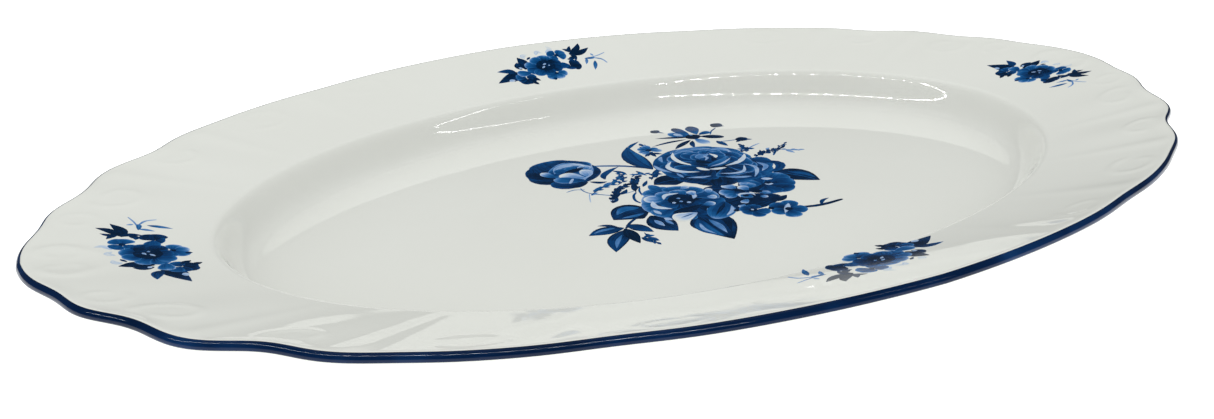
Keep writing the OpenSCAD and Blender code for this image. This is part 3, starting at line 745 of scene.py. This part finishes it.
# %% Marks of a rim print
spray_marks = [
    (LINE, 0.5, 35, 30, 0, 0.2, 17, -0.2, 21, -1.2, 24.8),
    (LINE, 0.7, 40, 25, 0, 0.6, 19, 2.6, 21.6, 5.6, 22.4),
    (LEAF, 1.6, 65, 40, 0, 2.6, 18.6, 5.6, 17.2, 8.6, 15.6),
    (LEAF, 1.2, 50, 30, 0, 0, 16.2, 2, 15.4, 4, 14.2),
    (LEAF, 1.4, 60, 40, 0, 0, 15.4, 0.6, 18.4, 0.2, 19.6),
    (LEAF, 1, 35, 25, 0, -0.6, 19.6, -2.4, 19.2),
    (LEAF, 2, 14, 4, 0, -8, 2.6, -9.6, 5.2, -12, 4.6),
    (LEAF, 1.8, 14, 5, 0, -7.6, -1.6, -9.4, -0.4, -8, 1.4),
    (LEAF, 2, 13, 4, 0, -6.6, -7, -8.4, -6.8, -8.8, -4.8),
    (LEAF, 3.2, 100, 95, 10, -4.6, 11, -4.2, 15.6, -6.2, 20.4),
    (LEAF, 2.6, 100, 95, 10, -4.8, 11.4, -7, 15.6, -10, 17.8),
    (LEAF, 1.6, 95, 85, 0, -5.6, 12, -7.6, 12.6, -9.4, 13.8),
    (LEAF, 1.7, 95, 85, 0, -5.4, 12.4, -7, 11.6, -8.4, 10),
    (LEAF, 1.9, 95, 80, 0, -5, 11.4, -2.4, 12.4, 0.6, 11.6),
    (LEAF, 2, 95, 85, 0, -3, 12, -1.4, 10.4, -1.6, 8.8),
    (LEAF, 4.4, 100, 90, 10, 1, -13.6, 4, -17.6, 6.6, -23.6),
    (LEAF, 3, 90, 75, 30, 1.4, -14, -0.2, -16.6, -0.8, -20.8),
    (LEAF, 2.2, 95, 85, 10, 2.2, -14.6, 5, -15, 7, -17.4),
    (DOT, 2.2, 30, 15, 20, 5.2, -18, 7, -17.8),
    (LEAF, 4.2, 100, 95, 10, 0.4, -9.6, -4, -8.6, -8, -9.4),
    (LEAF, 2.6, 95, 90, 10, 0, -11, -2.6, -11.6, -5, -10.8),
    (DOT, 1.3, 25, 15, 0, -1.6, -10.8, -0.6, -11.4),
    (PETAL, 4.4, 80, 60, 40, -5, 6.4, -7.6, 9.2),
    (PETAL, 4.4, 80, 60, 40, -5, 6.2, -3.4, 9.4),
    (PETAL, 4.4, 80, 65, 40, -5.4, 5.6, -8, 3.2),
    (PETAL, 4, 75, 55, 50, -4.8, 5.6, -2.6, 3),
    (DOT, 1.8, 95, 90, 0, -6, 6, -4.4, 6),
    (PETAL, 4.6, 100, 90, 20, 2.6, 8, 0.6, 12),
    (PETAL, 4.8, 100, 90, 20, 2.8, 8, 4.8, 11.8),
    (PETAL, 4, 95, 75, 30, 3, 8, 5.2, 7),
    (PETAL, 4.4, 80, 60, 40, 2.6, 8, 1.2, 3),
    (PETAL, 4, 75, 45, 50, 6, 0.6, 7, 4.6),
    (PETAL, 4.4, 75, 35, 50, 6, 0.4, 10.2, 1),
    (PETAL, 4.2, 80, 50, 40, 6, 0, 9.2, -3.6),
    (PETAL, 4, 85, 60, 40, 5.6, 0, 4.6, -4),
    (LEAF, 1.5, 90, 80, 0, 8.6, -1.6, 10.4, -2),
    (DOT, 1.6, 95, 95, 0, 5.2, 0.4, 6.8, 0.3),
    (PETAL, 4.4, 100, 90, 20, 6.4, -12, 10, -10.6),
    (PETAL, 4.2, 100, 90, 20, 6.4, -12, 9.8, -14.4),
    (PETAL, 4, 95, 80, 30, 6.2, -12, 6.6, -15.8),
    (PETAL, 4.4, 85, 65, 40, 6, -12, 3.4, -15.2),
    (PETAL, 4, 90, 70, 30, 6, -11.8, 5, -8),
    (LEAF, 1.8, 100, 95, 0, 6.2, -9.6, 9, -7.6),
    (LEAF, 1.6, 100, 90, 0, 8.8, -10.6, 11.4, -9.4),
    (PETAL, 5, 85, 55, 50, 0.4, -4, -3, -8.6),
    (PETAL, 5, 85, 60, 40, 1, -4, 2.4, -9.4),
    (PETAL, 5, 85, 60, 40, 1.4, -3, 5.6, -6.8),
    (PETAL, 4.4, 75, 50, 50, 3, -8.6, 2.4, -14),
    (PETAL, 5.6, 95, 50, 50, -1.6, -1, -6.6, 1.4),
    (PETAL, 5.4, 85, 50, 50, -2, -2, -6, -4.6),
    (PETAL, 5.4, 95, 80, 30, 0, 0, -1.6, 5.4),
    (PETAL, 5.4, 95, 80, 30, 1, 0, 3.6, 4.4),
    (PETAL, 5.4, 95, 78, 30, 1, -1.4, 6, -1.8),
    (DOT, 7.4, 100, 100, 5, -3.6, -1, 3.4, -1.6),
    (DOT, 3.6, 100, 90, 20, -3, 1.4, 0, 3),
    (LEAF, 0.9, 35, 25, 0, -1.4, -0.4, -0.6, -2),
    (LEAF, 0.9, 30, 20, 0, 0.2, -1.6, 1.4, -3.2),
    (DOT, 0.8, 40, 30, 0, -0.2, 0.2, 0.6, 0.2),
    (LEAF, 1, 90, 85, 0, -7, -4.4, -5.6, -6.4),
]


def rim_height(x, y):
    """Height of the rim over a point, found by stepping the angle and the share to the right place."""
    angle = np.arctan2(y * rim_long, x * rim_short)
    share = 0.5 + 0 * x
    step = 1e-4
    for _ in range(14):
        at_x, at_y, z = rim_place(angle, share)
        turned_x, turned_y, _ = rim_place(angle + step, share)
        out_x, out_y, _ = rim_place(angle, share + step)
        a, b = (turned_x - at_x) / step, (out_x - at_x) / step
        c, d = (turned_y - at_y) / step, (out_y - at_y) / step
        over = a * d - b * c
        angle = angle + (d * (x - at_x) - b * (y - at_y)) / over
        share = share + (a * (y - at_y) - c * (x - at_x)) / over
    return rim_place(angle, share)[2]


# %% Four rim prints
# Where each print lies, how far it is turned, and how much it is stretched along the rim.
spray_spots = {"left": ((-150, 4), 0, 0.95), "back": ((11, 103), -90, 1.0),
               "right": ((157, -2), 180, 0.8), "front": ((4, -92.5), 90, 1.0)}
sprays = {side: lay_print("spray_print_skin_" + side, spray_marks, rim_height, *place)
          for side, place in spray_spots.items()}

# %% [markdown]
# Glazed china is a white body under a clear glossy coat. The colour is a slightly green, cool white
# that hardly changes over the surface. The glaze gives the sharp reflections, and very faint waves
# in it keep them from looking like plastic.

# %% Helpers for materials


def new_material(name):
    material = bpy.data.materials.new(name)
    material.use_nodes = True
    tree = material.node_tree
    tree.nodes.clear()
    out = tree.nodes.new("ShaderNodeOutputMaterial")
    shader = tree.nodes.new("ShaderNodeBsdfPrincipled")
    tree.links.new(shader.outputs["BSDF"], out.inputs["Surface"])
    return material, tree, shader


def add_node(tree, kind, **values):
    node = tree.nodes.new(kind)
    for key, value in values.items():
        setattr(node, key, value)
    return node


def noise_on_object(tree, scale, detail=2.0, stretch=(1, 1, 1)):
    """Noise that sticks to the piece, because it reads Object coordinates."""
    spot = add_node(tree, "ShaderNodeTexCoord")
    mapping = add_node(tree, "ShaderNodeMapping")
    mapping.inputs["Scale"].default_value = stretch
    noise = add_node(tree, "ShaderNodeTexNoise")
    noise.inputs["Scale"].default_value = scale
    noise.inputs["Detail"].default_value = detail
    tree.links.new(spot.outputs["Object"], mapping.inputs["Vector"])
    tree.links.new(mapping.outputs["Vector"], noise.inputs["Vector"])
    return noise.outputs["Fac"]


def ramp(tree, factor, stops):
    """A colour ramp from a list of (place, colour)."""
    node = add_node(tree, "ShaderNodeValToRGB")
    band = node.color_ramp
    while len(band.elements) < len(stops):
        band.elements.new(0.5)
    for element, (place, colour) in zip(band.elements, stops):
        element.position = place
        element.color = (*colour, 1)
    tree.links.new(factor, node.inputs["Fac"])
    return node.outputs["Color"]


def gentle_bump(tree, shader, height, distance, strength):
    bump = add_node(tree, "ShaderNodeBump")
    bump.inputs["Distance"].default_value = distance
    bump.inputs["Strength"].default_value = strength
    tree.links.new(height, bump.inputs["Height"])
    tree.links.new(bump.outputs["Normal"], shader.inputs["Normal"])


# %% Glazed china
CHINA = (0.682, 0.684, 0.656)
CHINA_WARM = (0.670, 0.671, 0.641)


def glazed_china():
    material, tree, shader = new_material("glazed_china")
    cloud = noise_on_object(tree, 14, 3)
    colour = ramp(tree, cloud, [(0.35, CHINA_WARM), (0.65, CHINA)])
    tree.links.new(colour, shader.inputs["Base Color"])
    shader.inputs["Roughness"].default_value = 0.03
    shader.inputs["IOR"].default_value = 1.5
    shader.inputs["Specular IOR Level"].default_value = 0.3
    gentle_bump(tree, shader, noise_on_object(tree, 55, 1.5), 0.0004, 0.12)
    return material


china = glazed_china()
platter.data.materials.append(china)


def bare_china():
    material, tree, shader = new_material("bare_china")
    grain = noise_on_object(tree, 900, 3)
    colour = ramp(tree, grain, [(0.3, (0.58, 0.55, 0.49)), (0.7, (0.68, 0.65, 0.59))])
    tree.links.new(colour, shader.inputs["Base Color"])
    shader.inputs["Roughness"].default_value = 0.75
    gentle_bump(tree, shader, grain, 0.0002, 0.4)
    return material


foot.data.materials.append(bare_china())


def cobalt_line():
    material, tree, shader = new_material("cobalt_line")
    patches = noise_on_object(tree, 38, 3)
    deep = ramp(tree, patches, [(0.0, (0.012, 0.050, 0.140)), (0.34, (0.003, 0.024, 0.088)),
                                (0.48, (0.001, 0.011, 0.046)), (0.70, (0.0006, 0.007, 0.028))])
    tree.links.new(deep, shader.inputs["Base Color"])
    shader.inputs["Roughness"].default_value = 0.09
    shader.inputs["IOR"].default_value = 1.5
    shader.inputs["Specular IOR Level"].default_value = 0.2
    return material


edge_line.data.materials.append(cobalt_line())

# %% [markdown]
# The print ink is cobalt, which sinks into the glaze and blurs. The depth of each mark runs from its
# base to its tip. Its rim is paler, fine streaks run along it, as the engraver's lines do, and the
# firing leaves small clouds. All of that is one group of nodes, which gives the colour and the depth.

# %% Group of nodes for brushed cobalt
INK = [(0.0, (0.590, 0.620, 0.630)), (0.18, (0.352, 0.450, 0.620)), (0.36, (0.100, 0.220, 0.460)),
       (0.55, (0.008, 0.092, 0.265)), (0.74, (0.0015, 0.042, 0.150)), (0.90, (0.0008, 0.018, 0.066)),
       (1.0, (0.0006, 0.010, 0.032))]


def math_node(tree, operation, a, b):
    """Arithmetic on two values. Each is a socket or a number."""
    node = add_node(tree, "ShaderNodeMath", operation=operation)
    for place, value in enumerate((a, b)):
        if isinstance(value, (int, float)):
            node.inputs[place].default_value = value
        else:
            tree.links.new(value, node.inputs[place])
    return node.outputs["Value"]


def brushed_cobalt_group():
    group = bpy.data.node_groups.new("brushed_cobalt", "ShaderNodeTree")
    group.interface.new_socket("Color", in_out="OUTPUT", socket_type="NodeSocketColor")
    group.interface.new_socket("Depth", in_out="OUTPUT", socket_type="NodeSocketFloat")
    way = add_node(group, "ShaderNodeAttribute", attribute_name="way")
    ink = add_node(group, "ShaderNodeAttribute", attribute_name="ink")
    place = add_node(group, "ShaderNodeSeparateXYZ")
    group.links.new(way.outputs["Vector"], place.inputs["Vector"])
    amount = add_node(group, "ShaderNodeSeparateColor")
    group.links.new(ink.outputs["Color"], amount.inputs["Color"])
    along, across = place.outputs["X"], place.outputs["Y"]
    base, tip, rim = amount.outputs["Red"], amount.outputs["Green"], amount.outputs["Blue"]
    fade = math_node(group, "MULTIPLY", math_node(group, "POWER", along, 1.4),
                     math_node(group, "SUBTRACT", tip, base))
    depth = math_node(group, "ADD", base, fade)
    side = math_node(group, "POWER", math_node(group, "ABSOLUTE", across, 0), 5.0)
    end = math_node(group, "POWER", along, 9.0)
    edge = math_node(group, "MAXIMUM", side, end)
    depth = math_node(group, "SUBTRACT", depth, math_node(group, "MULTIPLY", edge,
                                                          math_node(group, "MULTIPLY", rim, 0.6)))
    stretch = add_node(group, "ShaderNodeVectorMath", operation="MULTIPLY")
    stretch.inputs[1].default_value = (1.4, 7.0, 9.0)
    group.links.new(way.outputs["Vector"], stretch.inputs[0])
    streaks = add_node(group, "ShaderNodeTexNoise")
    streaks.inputs["Scale"].default_value = 1.0
    streaks.inputs["Detail"].default_value = 2.0
    group.links.new(stretch.outputs["Vector"], streaks.inputs["Vector"])
    clouds = noise_on_object(group, 260, 2)
    for texture, strength in ((streaks.outputs["Fac"], 0.42), (clouds, 0.30)):
        swing = math_node(group, "MULTIPLY", math_node(group, "SUBTRACT", texture, 0.5), strength)
        depth = math_node(group, "ADD", depth, swing)
    out = group.nodes.new("NodeGroupOutput")
    group.links.new(ramp(group, depth, INK), out.inputs["Color"])
    group.links.new(depth, out.inputs["Depth"])
    return group


def cobalt_print():
    material, tree, shader = new_material("cobalt_print")
    brush = add_node(tree, "ShaderNodeGroup", node_tree=brushed_cobalt_group())
    tree.links.new(brush.outputs["Color"], shader.inputs["Base Color"])
    shader.inputs["Roughness"].default_value = 0.07
    shader.inputs["IOR"].default_value = 1.5
    shader.inputs["Specular IOR Level"].default_value = 0.12
    gentle_bump(tree, shader, noise_on_object(tree, 55, 1.5), 0.0004, 0.12)
    return material


print_ink = cobalt_print()
for print_piece in [bouquet, *sprays.values()]:
    print_piece.data.materials.append(print_ink)

# %% [markdown]
# Each new piece stands for a CAD node, which is hidden, and moves with the one body of the platter.

# %% Tie the pieces to the frame
for piece, node, slot in [(platter, "platter_body", "glazed_china"), (foot, "foot_ring", "bare_china"),
                          (edge_line, "edge_line", "cobalt_line"),
                          (bouquet, "bouquet_print", "cobalt_print"),
                          (sprays["right"], "spray_print_right", "cobalt_print"),
                          (sprays["back"], "spray_print_back", "cobalt_print"),
                          (sprays["left"], "spray_print_left", "cobalt_print"),
                          (sprays["front"], "spray_print_front", "cobalt_print")]:
    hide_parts(node)
    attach(piece, "root")

# %% [markdown]
# A studio would put the platter on a pale sheet under a large soft light. A long row of small
# lamps above it leaves a broken line of light in the curved wall of the well, and a plain long lamp
# leaves a soft one.

# %% Floor
bm = bmesh.new()
bmesh.ops.create_grid(bm, x_segments=1, y_segments=1, size=6000)
floor = new_piece("pale_floor", bm, smooth=False)
floor_material, tree, shader = new_material("pale_floor")
shader.inputs["Base Color"].default_value = (0.9, 0.9, 0.9, 1)
shader.inputs["Roughness"].default_value = 0.9
shader.inputs["Specular IOR Level"].default_value = 0.0
shader.inputs["Emission Color"].default_value = (1, 1, 1, 1)
shader.inputs["Emission Strength"].default_value = 0.75
floor.data.materials.append(floor_material)

# %% World and lights
world = bpy.data.worlds.new("studio")
bpy.context.scene.world = world
world.use_nodes = True
backdrop = world.node_tree.nodes["Background"]
backdrop.inputs["Color"].default_value = (0.97, 0.99, 0.97, 1)
DAYLIGHT = 1.13
MIRRORED_SHARE = 0.05
path = add_node(world.node_tree, "ShaderNodeLightPath")
dimming = math_node(world.node_tree, "MULTIPLY", path.outputs["Is Glossy Ray"],
                    DAYLIGHT * (1 - MIRRORED_SHARE))
daylight_left = math_node(world.node_tree, "SUBTRACT", DAYLIGHT, dimming)
world.node_tree.links.new(daylight_left, backdrop.inputs["Strength"])
bpy.context.scene.view_settings.view_transform = "Standard"


def soft_light(name, spot, target, size, power):
    lamp = bpy.data.lights.new(name, "AREA")
    lamp.shape = "RECTANGLE"
    lamp.size, lamp.size_y = size
    lamp.energy = power
    thing = bpy.data.objects.new(name, lamp)
    aim = Vector(target) - Vector(spot)
    thing.matrix_world = Matrix.Translation(spot) @ aim.to_track_quat("-Z", "Y").to_matrix().to_4x4()
    bpy.context.scene.collection.objects.link(thing)
    return thing


soft_light("overhead_soft", (0.1, 0.5, 2.2), (0, 0, 0), (2.4, 1.8), 5)


def strip_light(name, start, end, wide, radiance):
    """A straight lamp from start to end, turned so that it shines at the middle of the platter."""
    start, end = Vector(start), Vector(end)
    middle = (start + end) / 2
    long_way = (end - start).normalized()
    back = (middle - long_way * middle.dot(long_way)).normalized()
    side = back.cross(long_way)
    lamp = bpy.data.lights.new(name, "AREA")
    lamp.shape = "RECTANGLE"
    lamp.size, lamp.size_y = (end - start).length, wide
    lamp.energy = radiance * math.pi * lamp.size * wide
    thing = bpy.data.objects.new(name, lamp)
    thing.matrix_world = Matrix.Translation(middle) @ Matrix((long_way, side, back)).transposed().to_4x4()
    # The lamp is only seen in the glaze: the even light of the room does the rest.
    thing.visible_diffuse = False
    bpy.context.scene.collection.objects.link(thing)


ROW_START, ROW_END = Vector((0.29, -1.50, 1.2)), Vector((-2.05, 0.68, 1.2))
ROW_LAMPS = 26
LIT_SHARE = 0.5
LAMP_WIDE = 0.03
ROW_RADIANCE = 160
LONG_RADIANCE = 18
for k in range(ROW_LAMPS):
    lamp_start = ROW_START.lerp(ROW_END, k / ROW_LAMPS)
    lamp_end = ROW_START.lerp(ROW_END, (k + LIT_SHARE) / ROW_LAMPS)
    strip_light("row_lamp_%02d" % k, lamp_start, lamp_end, LAMP_WIDE, ROW_RADIANCE)
strip_light("long_lamp", (0.74, -1.07, 1.2), (1.76, -1.56, 1.2), LAMP_WIDE, LONG_RADIANCE)

# %% Camera
heading, tilt, roll = math.radians(61.811), math.radians(22.195), math.radians(1.308)
forward = Vector((math.cos(heading) * math.cos(tilt), math.sin(heading) * math.cos(tilt), -math.sin(tilt)))
level_right = Vector((math.sin(heading), -math.cos(heading), 0))
level_down = forward.cross(level_right)
right = level_right * math.cos(roll) + level_down * math.sin(roll)
up = right.cross(forward)
eye = Vector((-176.8, -291.8, 116.2 + platter_h - lip_r)) * MM
lens = bpy.data.cameras.new("view_camera")
lens.sensor_width = 36
lens.lens = 35.08
lens.clip_start = 0.01
camera = bpy.data.objects.new("view_camera", lens)
camera.matrix_world = Matrix((
    (right.x, up.x, -forward.x, eye.x), (right.y, up.y, -forward.y, eye.y),
    (right.z, up.z, -forward.z, eye.z), (0, 0, 0, 1)))
bpy.context.scene.collection.objects.link(camera)
bpy.context.scene.camera = camera
